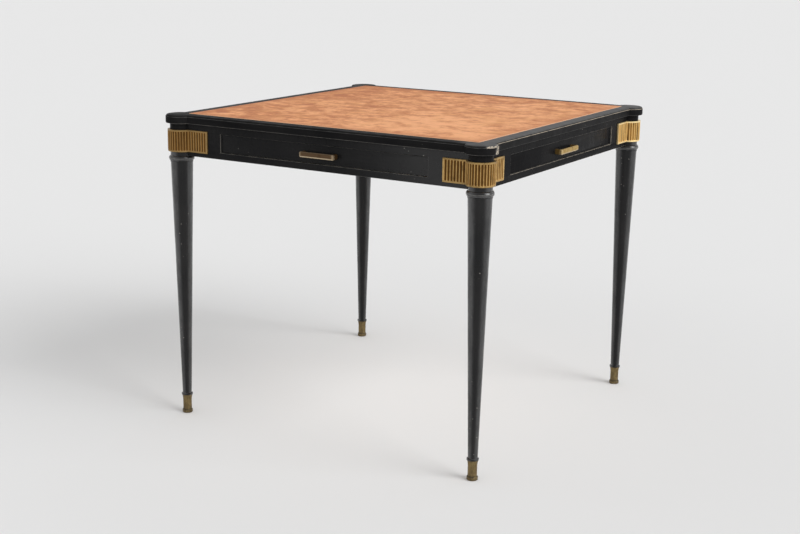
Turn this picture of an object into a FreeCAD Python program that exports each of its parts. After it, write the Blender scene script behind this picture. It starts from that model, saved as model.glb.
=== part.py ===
import FreeCAD, Part
import math
import os

import Sketcher

# A square card table in black lacquered wood: four round tapered legs with brass shoes, a deep
# apron with a shallow drawer in each side, fluted brass mounts round the corners, and a leather
# writing surface inside a moulded border whose corners swell into round ears over the legs.
# Origin: middle of the floor under the table. +Z is up, the front is at -Y, the right at +X.

doc = FreeCAD.newDocument("card_table")

# Driving sizes, in millimetres unless the name says otherwise
SIZES = {
    # overall
    "leg_spacing": 800,
    "table_height": 740,
    # moulded border of the top
    "top_thickness": 20,
    "edge_overhang": 16,
    "ear_overhang": 4,
    "edge_round": 4,
    "edge_step": 1,
    "edge_ease": 1.5,
    "border_width": 29,
    # leather and the panel under it
    "leather_thickness": 2,
    "leather_proud": 0.8,
    "leather_gap": 0.4,
    # turned legs
    "post_radius": 26.3,
    "collar_height": 13,
    "collar_proud": 4,
    "collar_fillet_height": 3,
    "collar_fillet_proud": 0.8,
    "foot_radius": 11,
    "foot_bead_height": 5,
    "foot_bead_proud": 2.6,
    "foot_bead_slope": 1.6,
    "spigot_clearance": 0.3,
    # brass shoes
    "shoe_height": 46,
    "shoe_lip_radius": 12.8,
    "shoe_waist_radius": 10.5,
    "shoe_waist_height": 31,
    "shoe_rim_radius": 12.4,
    "shoe_rim_height": 6.5,
    "shoe_ease": 0.8,
    "shoe_wall": 1.8,
    "shoe_floor": 8,
    # apron
    "apron_height": 77,
    "apron_thickness": 20,
    "apron_offset": 7.5,
    "rail_end_gap": 1.5,
    "lower_rail_height": 15.5,
    "upper_rail_height": 17.5,
    # fluted corner mounts
    "mount_wall": 5.4,
    "mount_drop": 15,
    "mount_rise": 10,
    "mount_clearance": 0.3,
    "plate_reach": 85.4,
    "plate_thickness": 3.5,
    "plate_margin": 37.1,
    "flute_radius": 3,
    "flute_depth": 1.8,
    "flute_rim": 3.5,
    "flutes_round": 19,
    "flutes_plate": 7,
    "flute_margin_angle": 6,
    "stud_radius": 2.5,
    "stud_clearance": 0.4,
    "nut_radius": 5.5,
    "nut_height": 4,
    "stud_spare": 2,
    # drawers
    "front_gap": 1,
    "front_recess": 3,
    "front_thickness": 16,
    "box_gap": 2,
    "box_lift": 2.5,
    "side_thickness": 12,
    "side_drop": 5.5,
    "back_thickness": 10,
    "back_gap": 1.5,
    "bottom_thickness": 4,
    "bottom_lift": 3,
    "groove_depth": 4,
    "groove_clearance": 0.2,
    # drawer runners and the crossed dividers that hold them
    "divider_thickness": 8,
    "divider_lift": 6,
    "lap_clearance": 0.1,
    "runner_height": 8,
    "runner_width": 6,
    "runner_clearance": 0.3,
    "runner_tip_gap": 1,
    # pulls
    "pull_length": 92,
    "pull_projection": 18,
    "pull_bar": 6,
    "pull_leg": 8,
    "pull_height": 12,
    "pull_corner": 3,
    "pull_edge": 2,
    "pull_drop": 1,
    "pull_stud_radius": 2,
    # corner braces and top screws
    "brace_gap": 1,
    "brace_far_gap": 12,
    "brace_height": 38,
    "screw_radius": 2,
    "screw_head_radius": 4,
    "screw_clearance": 0.3,
    "screw_bite": 12,
    "screw_place": 190,
}

sheet = doc.addObject("Spreadsheet::Sheet", "Sizes")
for row, (alias, value) in enumerate(SIZES.items(), start=1):
    sheet.set(f"A{row}", alias)
    sheet.set(f"B{row}", str(value))
    sheet.setAlias(f"B{row}", alias)
doc.recompute()

# Heights and offsets that several pieces share, worked out from the sheet
half_span = "(Sizes.leg_spacing / 2)"
mount_bore = "(Sizes.post_radius + Sizes.mount_clearance)"
mount_radius = f"({mount_bore} + Sizes.mount_wall)"
ear_radius = f"({mount_radius} + Sizes.ear_overhang)"
top_under = "(Sizes.table_height - Sizes.top_thickness)"
edge_out = f"({half_span} + Sizes.edge_overhang)"
panel_edge = f"({edge_out} - Sizes.border_width)"
leather_top = "(Sizes.table_height + Sizes.leather_proud)"
leather_low = f"({leather_top} - Sizes.leather_thickness)"
apron_low = f"({top_under} - Sizes.apron_height)"
apron_out = f"({half_span} + Sizes.apron_offset)"
apron_in = f"({apron_out} - Sizes.apron_thickness)"
apron_back = "(Sizes.apron_thickness - Sizes.apron_offset)"
rail_reach = f"({apron_back} + Sizes.rail_end_gap)"
rail_end = f"({half_span} - {rail_reach})"
opening_low = f"({apron_low} + Sizes.lower_rail_height)"
opening_high = f"({top_under} - Sizes.upper_rail_height)"
stile_reach = "(Sizes.plate_reach + Sizes.plate_margin)"
opening_side = f"({half_span} - {stile_reach})"
mount_high = f"({top_under} - Sizes.mount_drop)"
mount_low = f"({apron_low} + Sizes.mount_rise)"
mount_middle = f"(({mount_low} + {mount_high}) / 2)"
plate_out = "(Sizes.apron_offset + Sizes.plate_thickness)"
round_end = f"sqrt({mount_radius} ^ 2 - {plate_out} ^ 2)"
stud_place = f"(({round_end} + Sizes.plate_reach) / 2)"
stud_hole = "(Sizes.stud_radius + Sizes.stud_clearance)"
front_face = f"({apron_out} - Sizes.front_recess)"
front_back = f"({front_face} - Sizes.front_thickness)"
front_low = f"({opening_low} + Sizes.front_gap)"
front_high = f"({opening_high} - Sizes.front_gap)"
front_side = f"({opening_side} - Sizes.front_gap)"
divider_out = f"({opening_side} + Sizes.divider_thickness)"
divider_low = f"({apron_low} + Sizes.divider_lift)"
divider_middle = f"(({divider_low} + {top_under}) / 2)"
box_back = f"({divider_out} + Sizes.back_gap)"
box_side = f"({opening_side} - Sizes.box_gap)"
box_inside = f"({box_side} - Sizes.side_thickness)"
box_low = f"({opening_low} + Sizes.box_lift)"
box_high = f"({opening_high} - Sizes.side_drop)"
bottom_low = f"({box_low} + Sizes.bottom_lift)"
bottom_high = f"({bottom_low} + Sizes.bottom_thickness)"
runner_low = f"(({box_low} + {box_high} - Sizes.runner_height) / 2)"
runner_high = f"({runner_low} + Sizes.runner_height)"
runner_tip = f"({opening_side} - Sizes.runner_width)"
pull_middle = f"(({opening_low} + {opening_high}) / 2 - Sizes.pull_drop)"
pull_low = f"({pull_middle} - Sizes.pull_height / 2)"
pull_stud_place = "(Sizes.pull_length / 2 - Sizes.pull_leg / 2)"
screw_hole = "(Sizes.screw_radius + Sizes.screw_clearance)"
pull_stud_hole = "(Sizes.pull_stud_radius + Sizes.stud_clearance)"
rail_middle = f"({apron_out} - Sizes.apron_thickness / 2)"

# The table has the same front four times over, each a quarter turn on from the last
SIDES = {"front": 0, "right": 1, "back": 2, "left": 3}
CORNERS = {"front_left": 0, "front_right": 1, "back_right": 2, "back_left": 3}
UP = FreeCAD.Vector(0, 0, 1)
TINY = 0.001
nodes = []


def number(expression):
    return float(sheet.evalExpression(expression))


def minus(expression):
    return f"-({expression})"


def arc_radius(chord, bulge):
    return f"((({chord}) ^ 2 / 4 + ({bulge}) ^ 2) / (2 * ({bulge})))"


def quarter_turn(turn):
    return FreeCAD.Rotation(UP, 90 * turn)


def turned(x, y, turn):
    return [(x, y), (minus(y), x), (minus(x), minus(y)), (y, minus(x))][turn]


def place(item, x, y, z, turn):
    item.Placement = FreeCAD.Placement(FreeCAD.Vector(), quarter_turn(turn))
    for axis, expression in zip("xyz", (*turned(x, y, turn), z)):
        item.setExpression(f"Placement.Base.{axis}", expression)


def keep(item, label):
    item.Label = label
    nodes.append(item)
    return item


def box(name, low, high, turn=0):
    block = doc.addObject("Part::Box", name)
    for side, start, end in zip(("Length", "Width", "Height"), low, high):
        block.setExpression(side, f"({end}) - ({start})")
    place(block, *low, turn)
    return block


def rod(name, radius, height, x, y, z, tilt=None):
    bar = doc.addObject("Part::Cylinder", name)
    bar.setExpression("Radius", radius)
    bar.setExpression("Height", height)
    place(bar, x, y, z, 0)
    if tilt:
        bar.Placement.Rotation = tilt
    return bar


def fused(name, pieces):
    union = doc.addObject("Part::MultiFuse", name)
    union.Shapes = pieces
    return union


def grouped(name, pieces):
    group = doc.addObject("Part::Compound", name)
    group.Links = pieces
    return group


def cut(name, base, tool, turn=0):
    result = doc.addObject("Part::Cut", name)
    result.Base = base
    result.Tool = tool
    result.Placement.Rotation = quarter_turn(turn)
    return result


def new_body(name, x="0", y="0", turn=0):
    body = doc.addObject("PartDesign::Body", name)
    place(body, x, y, "0", turn)
    return body


def origin_feature(body, role):
    return next(item for item in body.Origin.OriginFeatures if item.Role == role)


def new_sketch(body, name, origin=("0", "0", "0"), yaw=0, upright=True):
    """A sketch lying flat, or standing upright with its x along the yaw direction and its y up."""
    sketch = body.newObject("Sketcher::SketchObject", name)
    sketch.AttachmentSupport = [(origin_feature(body, "XY_Plane"), "")]
    sketch.MapMode = "FlatFace"
    tilt = FreeCAD.Rotation(FreeCAD.Vector(1, 0, 0), 90 if upright else 0)
    sketch.AttachmentOffset = FreeCAD.Placement(FreeCAD.Vector(), FreeCAD.Rotation(UP, yaw) * tilt)
    for axis, expression in zip("xyz", origin):
        sketch.setExpression(f"AttachmentOffset.Base.{axis}", expression)
    return sketch


def bind(sketch, expression, *constraint):
    index = sketch.addConstraint(Sketcher.Constraint(*constraint, number(expression)))
    sketch.setExpression(f"Constraints[{index}]", expression)


def outline(sketch, corners):
    """A closed outline through corners (x, y), each held by the sheet. A corner (x, y, radius, side)
    starts an arc to the next one, with its centre to the left (1) or the right (-1) of the way."""
    points = [FreeCAD.Vector(number(corner[0]), number(corner[1]), 0) for corner in corners]
    segments = []
    for index, corner in enumerate(corners):
        start, end = points[index], points[(index + 1) % len(points)]
        if len(corner) == 2:
            geometry = sketch.addGeometry(Part.LineSegment(start, end), False)
            segments.append((geometry, 1, 2))
            continue
        radius, side = number(corner[2]), corner[3]
        chord = end - start
        rise = math.sqrt(max(radius ** 2 - (chord.Length / 2) ** 2, 0))
        across = FreeCAD.Vector(-chord.y, chord.x, 0).normalize()
        centre = (start + end) / 2 + across * rise * side
        first, last = (start, end) if side > 0 else (end, start)
        angles = [math.atan2(point.y - centre.y, point.x - centre.x) for point in (first, last)]
        arc = Part.ArcOfCircle(Part.Circle(centre, UP, radius), *angles)
        geometry = sketch.addGeometry(arc, False)
        segments.append((geometry, 1, 2) if side > 0 else (geometry, 2, 1))
    for index, corner in enumerate(corners):
        geometry, start, end = segments[index]
        follower, next_start, _ = segments[(index + 1) % len(segments)]
        sketch.addConstraint(Sketcher.Constraint("Coincident", geometry, end, follower, next_start))
        bind(sketch, corner[0], "DistanceX", -1, 1, geometry, start)
        bind(sketch, corner[1], "DistanceY", -1, 1, geometry, start)
        if len(corner) == 4:
            bind(sketch, corner[2], "Radius", geometry)


def circle(sketch, x, y, radius):
    centre = FreeCAD.Vector(number(x), number(y), 0)
    geometry = sketch.addGeometry(Part.Circle(centre, UP, number(radius)), False)
    bind(sketch, x, "DistanceX", -1, 1, geometry, 3)
    bind(sketch, y, "DistanceY", -1, 1, geometry, 3)
    bind(sketch, radius, "Radius", geometry)


def rectangle(sketch, x0, x1, y0, y1):
    outline(sketch, [(x0, y0), (x1, y0), (x1, y1), (x0, y1)])


def feature(body, kind, name, sketch, **settings):
    item = body.newObject(f"PartDesign::{kind}", name)
    item.Profile = sketch
    for setting, value in settings.items():
        if isinstance(value, str) and setting in ("Length", "Angle"):
            item.setExpression(setting, value)
        else:
            setattr(item, setting, value)
    sketch.Visibility = False
    return item


def spun(body, kind, name, sketch):
    return feature(body, kind, name, sketch, ReferenceAxis=(sketch, ["V_Axis"]), Angle=360.0)


def pattern(body, kind, name, original, count, **settings):
    item = body.newObject(f"PartDesign::{kind}", name)
    item.Originals = [original]
    for setting, value in settings.items():
        if isinstance(value, str):
            item.setExpression(setting, value)
        else:
            setattr(item, setting, value)
    item.setExpression("Occurrences", count)
    body.Tip = item
    return item


# Legs: each turned in one length, from the spigot inside the shoe up through a sloped bead, a long
# straight taper and a rounded collar to the post. Two slots in the post take the apron's ends.
collar_high = apron_low
collar_low = f"({collar_high} - Sizes.collar_height)"
taper_high = f"({collar_low} - Sizes.collar_fillet_height)"
bore = "(Sizes.shoe_waist_radius - Sizes.shoe_wall)"
spigot_radius = f"({bore} - Sizes.spigot_clearance)"
bead_radius = "(Sizes.foot_radius + Sizes.foot_bead_proud)"
taper_low = "(Sizes.shoe_height + Sizes.foot_bead_height)"
collar_round = arc_radius("Sizes.collar_height", "Sizes.collar_proud")
fillet_radius = "(Sizes.post_radius + Sizes.collar_fillet_proud)"
slot_end = "(2 * Sizes.post_radius)"


def make_leg(corner, turn):
    body = new_body(f"leg_{corner}", minus(half_span), minus(half_span), turn)
    profile = new_sketch(body, f"leg_profile_{corner}")
    outline(profile, [
        ("0", "Sizes.shoe_floor"),
        (spigot_radius, "Sizes.shoe_floor"),
        (spigot_radius, "Sizes.shoe_height"),
        (bead_radius, "Sizes.shoe_height"),
        (bead_radius, f"{taper_low} - Sizes.foot_bead_slope"),
        ("Sizes.foot_radius", taper_low),
        ("Sizes.post_radius", taper_high),
        (fillet_radius, taper_high),
        (fillet_radius, collar_low),
        ("Sizes.post_radius", collar_low, collar_round, 1),
        ("Sizes.post_radius", collar_high),
        ("Sizes.post_radius", top_under),
        ("0", top_under),
    ])
    spun(body, "Revolution", f"leg_turning_{corner}", profile)
    slots = new_sketch(body, f"leg_slots_{corner}", ("0", "0", top_under), upright=False)
    rectangle(slots, rail_reach, slot_end, minus("Sizes.apron_offset"), apron_back)
    rectangle(slots, minus("Sizes.apron_offset"), apron_back, rail_reach, slot_end)
    feature(body, "Pocket", f"leg_housing_{corner}", slots, Length="Sizes.apron_height")
    keep(body, f"leg_{corner}")


# Shoes: turned brass cups with a rolled rim, a drawn-in waist and a flared lip under the leg's bead
bore_floor = "(Sizes.shoe_floor - Sizes.spigot_clearance)"
flare = "(Sizes.shoe_lip_radius - Sizes.shoe_waist_radius)"
flare_rise = "(Sizes.shoe_height - Sizes.shoe_waist_height)"
flare_bend = f"(({flare} ^ 2 + {flare_rise} ^ 2) / (2 * {flare}))"
rim_roll = "(Sizes.shoe_rim_radius - Sizes.shoe_waist_radius)"


def make_shoe(corner, turn):
    body = new_body(f"shoe_{corner}", minus(half_span), minus(half_span), turn)
    profile = new_sketch(body, f"shoe_profile_{corner}")
    outline(profile, [
        ("0", "0"),
        ("Sizes.shoe_rim_radius - Sizes.shoe_ease", "0"),
        ("Sizes.shoe_rim_radius", "Sizes.shoe_ease"),
        ("Sizes.shoe_rim_radius", "Sizes.shoe_rim_height", rim_roll, 1),
        ("Sizes.shoe_waist_radius", f"Sizes.shoe_rim_height + {rim_roll}"),
        ("Sizes.shoe_waist_radius", "Sizes.shoe_waist_height", flare_bend, -1),
        ("Sizes.shoe_lip_radius", "Sizes.shoe_height"),
        (bore, "Sizes.shoe_height"),
        (bore, bore_floor),
        ("0", bore_floor),
    ])
    spun(body, "Revolution", f"shoe_turning_{corner}", profile)
    keep(body, f"shoe_{corner}")


# Apron: an upper and a lower rail run from post to post on each side, and two stiles stand
# between them, so that they frame the drawer's opening.
def upper_rail_holes():
    holes = []
    for sign, hand in (("-", "left"), ("", "right")):
        holes.append(rod(f"rail_screw_hole_{hand}", screw_hole,
                         f"{top_under} - {opening_high}", f"{sign}Sizes.screw_place",
                         minus(rail_middle), opening_high))
        sink = doc.addObject("Part::Cone", f"rail_screw_sink_{hand}")
        sink.setExpression("Radius1", "Sizes.screw_head_radius + Sizes.screw_clearance")
        sink.setExpression("Radius2", screw_hole)
        sink.setExpression("Height", "Sizes.screw_head_radius - Sizes.screw_radius")
        place(sink, f"{sign}Sizes.screw_place", minus(rail_middle), opening_high, 0)
        holes.append(sink)
    return fused("rail_screw_holes", holes)


def stile_holes():
    inward = FreeCAD.Rotation(FreeCAD.Vector(1, 0, 0), -90)
    holes = []
    for sign, hand in (("-", "left"), ("", "right")):
        holes.append(rod(f"stile_stud_hole_{hand}", stud_hole, "Sizes.apron_thickness",
                         f"{sign}({half_span} - {stud_place})", minus(apron_out), mount_middle, inward))
    return fused("stile_stud_holes", holes)


def make_apron():
    rail_blank = box("upper_rail_blank", (minus(rail_end), minus(apron_out), opening_high),
                     (rail_end, minus(apron_in), top_under))
    rail_holes = upper_rail_holes()
    stile_left = box("stile_blank_left", (minus(rail_end), minus(apron_out), opening_low),
                     (minus(opening_side), minus(apron_in), opening_high))
    stile_right = box("stile_blank_right", (opening_side, minus(apron_out), opening_low),
                      (rail_end, minus(apron_in), opening_high))
    stile_blanks = grouped("stile_blanks", [stile_left, stile_right])
    studs = stile_holes()
    for side, turn in SIDES.items():
        keep(cut(f"upper_rail_{side}", rail_blank, rail_holes, turn), f"upper_rail_{side}")
        keep(box(f"lower_rail_{side}", (minus(rail_end), minus(apron_out), apron_low),
                 (rail_end, minus(apron_in), opening_low), turn), f"lower_rail_{side}")
        keep(cut(f"apron_stiles_{side}", stile_blanks, studs, turn), f"apron_stiles_{side}")


# Corner mounts: cast brass that wraps three quarters of the post and runs out as a flat plate over
# each apron. Hollow flutes follow the curve and the plates, inside a plain rim. A threaded stud behind
# each plate goes through the stile to a nut.
bore_end = f"sqrt({mount_bore} ^ 2 - Sizes.apron_offset ^ 2)"
outer_corner = f"(-{mount_radius} / sqrt(2))"
inner_corner = f"(-{mount_bore} / sqrt(2))"
flute_low = f"({mount_low} + Sizes.flute_rim)"
flute_high = f"({mount_high} - Sizes.flute_rim)"
flute_stand = "(Sizes.flute_radius - Sizes.flute_depth)"
half_wrap = f"(135 - asin({plate_out} / {mount_radius}) / 1 deg - Sizes.flute_margin_angle)"
round_start = f"(225 - {half_wrap})"
plate_run = f"(Sizes.plate_reach - Sizes.flute_rim - {round_end})"
plate_pitch = f"({plate_run} / Sizes.flutes_plate)"
first_flute = f"({round_end} + {plate_pitch} / 2)"
stud_spare_end = "(Sizes.nut_height + Sizes.stud_spare)"
stud_length = f"(Sizes.apron_thickness + {stud_spare_end})"


def flute_sketch(body, name, x, y):
    sketch = new_sketch(body, name, (x, y, "0"))
    rectangle(sketch, "0", "Sizes.flute_radius", flute_low, flute_high)
    return sketch


def make_mount(corner, turn):
    body = new_body(f"mount_{corner}", minus(half_span), minus(half_span), turn)
    plan = new_sketch(body, f"mount_plan_{corner}", ("0", "0", mount_low), upright=False)
    outline(plan, [
        ("Sizes.plate_reach", minus(plate_out)),
        (round_end, minus(plate_out), mount_radius, -1),
        (outer_corner, outer_corner, mount_radius, -1),
        (minus(plate_out), round_end),
        (minus(plate_out), "Sizes.plate_reach"),
        (minus("Sizes.apron_offset"), "Sizes.plate_reach"),
        (minus("Sizes.apron_offset"), bore_end, mount_bore, 1),
        (inner_corner, inner_corner, mount_bore, 1),
        (bore_end, minus("Sizes.apron_offset")),
        ("Sizes.plate_reach", minus("Sizes.apron_offset")),
    ])
    feature(body, "Pad", f"mount_casting_{corner}", plan, Length=f"{mount_high} - {mount_low}")
    front_stud = new_sketch(body, f"mount_front_stud_{corner}", ("0", minus("Sizes.apron_offset"), "0"))
    circle(front_stud, stud_place, mount_middle, "Sizes.stud_radius")
    feature(body, "Pad", f"mount_front_stud_pad_{corner}", front_stud, Length=stud_length, Reversed=True)
    side_stud = new_sketch(body, f"mount_side_stud_{corner}", (minus("Sizes.apron_offset"), "0", "0"), 90)
    circle(side_stud, stud_place, mount_middle, "Sizes.stud_radius")
    feature(body, "Pad", f"mount_side_stud_pad_{corner}", side_stud, Length=stud_length)

    round_stand = f"({mount_radius} + {flute_stand})"
    first = spun(body, "Groove", f"mount_round_flute_{corner}",
                 flute_sketch(body, f"mount_round_flute_sketch_{corner}",
                              f"{round_stand} * cos({round_start} * 1 deg)",
                              f"{round_stand} * sin({round_start} * 1 deg)"))
    pattern(body, "PolarPattern", f"mount_round_flutes_{corner}", first, "Sizes.flutes_round",
            Axis=(origin_feature(body, "Z_Axis"), [""]), Angle=f"2 * {half_wrap}")
    stand = minus(f"{plate_out} + {flute_stand}")
    plates = (("front", first_flute, stand, "X_Axis"), ("side", stand, first_flute, "Y_Axis"))
    for face, x, y, axis in plates:
        first = spun(body, "Groove", f"mount_{face}_flute_{corner}",
                     flute_sketch(body, f"mount_{face}_flute_sketch_{corner}", x, y))
        pattern(body, "LinearPattern", f"mount_{face}_flutes_{corner}", first, "Sizes.flutes_plate",
                Direction=(origin_feature(body, axis), [""]),
                Length=f"{plate_pitch} * (Sizes.flutes_plate - 1)")
    keep(body, f"mount_{corner}")


# Nuts: one hexagon nut on each stud, tight against the inside of the apron
def make_mount_nuts():
    nuts = []
    for side, turn in SIDES.items():
        for sign, hand in (("-", "left"), ("", "right")):
            hexagon = doc.addObject("Part::Prism", f"nut_hexagon_{side}_{hand}")
            hexagon.Polygon = 6
            hexagon.setExpression("Circumradius", "Sizes.nut_radius")
            hexagon.setExpression("Height", "Sizes.nut_height")
            thread = doc.addObject("Part::Cylinder", f"nut_thread_{side}_{hand}")
            thread.setExpression("Radius", stud_hole)
            thread.setExpression("Height", "Sizes.nut_height")
            nut = cut(f"nut_{side}_{hand}", hexagon, thread)
            place(nut, f"{sign}({half_span} - {stud_place})", minus(apron_in), mount_middle, turn)
            inward = FreeCAD.Rotation(FreeCAD.Vector(1, 0, 0), -90)
            nut.Placement.Rotation = quarter_turn(turn) * inward
            nuts.append(nut)
    keep(grouped("mount_nuts", nuts), "mount_nuts")


# Braces: a diagonal block glued across each inside corner of the apron
def make_corner_braces():
    braces = []
    brace_low = f"({mount_middle} - Sizes.brace_height / 2)"
    near = f"({stud_place} - {apron_back} + Sizes.nut_radius + {stud_spare_end} + Sizes.brace_gap)"
    far = f"({stile_reach} - {apron_back} - Sizes.divider_thickness - Sizes.brace_far_gap)"
    for corner, turn in CORNERS.items():
        body = new_body(f"brace_{corner}", minus(apron_in), minus(apron_in), turn)
        plan = new_sketch(body, f"brace_plan_{corner}", ("0", "0", brace_low), upright=False)
        outline(plan, [(near, "0"), (far, "0"), ("0", far), ("0", near)])
        feature(body, "Pad", f"brace_block_{corner}", plan, Length="Sizes.brace_height")
        braces.append(body)
    keep(grouped("corner_braces", braces), "corner_braces")


# Dividers: two boards each way, halved over one another, carry the drawers' runners
def make_dividers():
    for name, turn, notch_low, notch_high in (
        ("dividers_lengthwise", 0, divider_middle, top_under),
        ("dividers_crosswise", 1, divider_low, divider_middle),
    ):
        boards = []
        notches = []
        hands = {"left": (minus(divider_out), minus(opening_side)), "right": (opening_side, divider_out)}
        for hand, (near, far) in hands.items():
            boards.append(box(f"{name}_board_{hand}", (near, minus(apron_in), divider_low),
                              (far, apron_in, top_under)))
            notches.append(box(f"{name}_notch_{hand}",
                               (minus(divider_out), f"{near} - Sizes.lap_clearance", notch_low),
                               (divider_out, f"{far} + Sizes.lap_clearance", notch_high)))
        keep(cut(name, grouped(f"{name}_boards", boards), fused(f"{name}_notches", notches), turn), name)


# Runners: a strip glued to the divider on each side of each drawer, which runs in the drawer's groove
def make_runners():
    strips = []
    for side, turn in SIDES.items():
        strips.append(box(f"runner_{side}_left", (minus(opening_side), minus(apron_in), runner_low),
                          (minus(runner_tip), minus(divider_out), runner_high), turn))
        strips.append(box(f"runner_{side}_right", (runner_tip, minus(apron_in), runner_low),
                          (opening_side, minus(divider_out), runner_high), turn))
    keep(grouped("drawer_runners", strips), "drawer_runners")


# Drawers: a lacquered front, two grooved sides, a back and a thin bottom let into the front and sides
groove_low = f"({bottom_low} - Sizes.groove_clearance)"
groove_high = f"({bottom_high} + Sizes.groove_clearance)"
groove_side = f"({box_inside} + Sizes.groove_depth)"
tongue_side = f"({groove_side} - Sizes.groove_clearance)"
groove_front = f"({front_back} + Sizes.groove_depth)"
tongue_front = f"({groove_front} - Sizes.groove_clearance)"
runner_groove = f"({runner_tip} - Sizes.runner_tip_gap)"
slide_low = f"({runner_low} - Sizes.runner_clearance)"
slide_high = f"({runner_high} + Sizes.runner_clearance)"


def drawer_length(name, hand, across, heights):
    """A block that runs from the drawer's front to its back, on the left or the right."""
    inner, outer = across
    low, high = heights
    near, far = (inner, outer) if hand == "right" else (minus(outer), minus(inner))
    return box(name, (near, minus(front_back), low), (far, minus(box_back), high))


def make_drawers():
    front_blank = box("drawer_front_blank", (minus(front_side), minus(front_face), front_low),
                      (front_side, minus(front_back), front_high))
    outward = FreeCAD.Rotation(FreeCAD.Vector(1, 0, 0), -90)
    front_cuts = [box("drawer_front_groove", (minus(groove_side), minus(groove_front), groove_low),
                      (groove_side, minus(front_back), groove_high))]
    for sign, hand in (("-", "left"), ("", "right")):
        front_cuts.append(rod(f"drawer_pull_hole_{hand}", pull_stud_hole, "Sizes.front_thickness",
                              f"{sign}{pull_stud_place}", minus(front_face), pull_middle, outward))
    front_tool = fused("drawer_front_cuts", front_cuts)
    side_blanks = {}
    side_tools = {}
    for hand in ("left", "right"):
        side_blanks[hand] = drawer_length(f"drawer_side_blank_{hand}", hand,
                                          (box_inside, box_side), (box_low, box_high))
        slide = drawer_length(f"drawer_slide_groove_{hand}", hand,
                              (runner_groove, box_side), (slide_low, slide_high))
        floor = drawer_length(f"drawer_floor_groove_{hand}", hand,
                              (box_inside, groove_side), (groove_low, groove_high))
        side_tools[hand] = fused(f"drawer_side_grooves_{hand}", [slide, floor])
    for side, turn in SIDES.items():
        keep(cut(f"{side}_drawer_front", front_blank, front_tool, turn), f"{side}_drawer_front")
        for hand in side_blanks:
            keep(cut(f"{side}_drawer_{hand}_side", side_blanks[hand], side_tools[hand], turn),
                 f"{side}_drawer_{hand}_side")
        keep(box(f"{side}_drawer_back",
                 (minus(box_inside), minus(f"{box_back} + Sizes.back_thickness"), groove_high),
                 (box_inside, minus(box_back), box_high), turn), f"{side}_drawer_back")
        keep(box(f"{side}_drawer_bottom", (minus(tongue_side), minus(tongue_front), bottom_low),
                 (tongue_side, minus(box_back), bottom_high), turn), f"{side}_drawer_bottom")


# Pulls: a brass bar bent forward in a flat staple, with a threaded stud on each leg
def make_pull(side, turn):
    body = new_body(f"{side}_drawer_pull", turn=turn)
    plan = new_sketch(body, f"pull_plan_{side}", ("0", minus(front_face), pull_low), upright=False)
    half = "(Sizes.pull_length / 2)"
    inner = f"({half} - Sizes.pull_leg)"
    tip = minus("Sizes.pull_projection")
    inside = minus("(Sizes.pull_projection - Sizes.pull_bar)")
    outline(plan, [
        (minus(half), "0"),
        (minus(half), f"{tip} + Sizes.pull_corner", "Sizes.pull_corner", 1),
        (f"-{half} + Sizes.pull_corner", tip),
        (f"{half} - Sizes.pull_corner", tip, "Sizes.pull_corner", 1),
        (half, f"{tip} + Sizes.pull_corner"),
        (half, "0"),
        (inner, "0"),
        (inner, inside),
        (minus(inner), inside),
        (minus(inner), "0"),
    ])
    bar = feature(body, "Pad", f"pull_bar_{side}", plan, Length="Sizes.pull_height")
    doc.recompute()
    edges = []
    for index, edge in enumerate(bar.Shape.Edges, start=1):
        extent = edge.BoundBox
        level = extent.ZLength < TINY
        on_wood = extent.YMin > -number(front_face) - TINY
        if level and not on_wood:
            edges.append(f"Edge{index}")
    easing = body.newObject("PartDesign::Chamfer", f"pull_easing_{side}")
    easing.Base = (bar, edges)
    easing.setExpression("Size", "Sizes.pull_edge")
    studs = new_sketch(body, f"pull_studs_{side}", ("0", minus(front_face), "0"))
    for sign in ("-", ""):
        circle(studs, f"{sign}{pull_stud_place}", pull_middle, "Sizes.pull_stud_radius")
    feature(body, "Pad", f"pull_stud_pad_{side}", studs, Reversed=True,
            Length="Sizes.front_thickness + Sizes.nut_height")
    keep(body, f"{side}_drawer_pull")


# Border of the top: four lengths mitred at the corners. The moulded edge is a quarter round over a
# small step and a square face, run straight along the side and turned round each ear.
def edge_profile(sketch, inner, outer):
    shoulder = f"{outer} - Sizes.edge_step"
    outline(sketch, [
        (inner, top_under),
        (f"{outer} - Sizes.edge_ease", top_under),
        (outer, f"{top_under} + Sizes.edge_ease"),
        (outer, "Sizes.table_height - Sizes.edge_round"),
        (shoulder, "Sizes.table_height - Sizes.edge_round", "Sizes.edge_round", 1),
        (f"{shoulder} - Sizes.edge_round", "Sizes.table_height"),
        (inner, "Sizes.table_height"),
    ])


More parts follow.
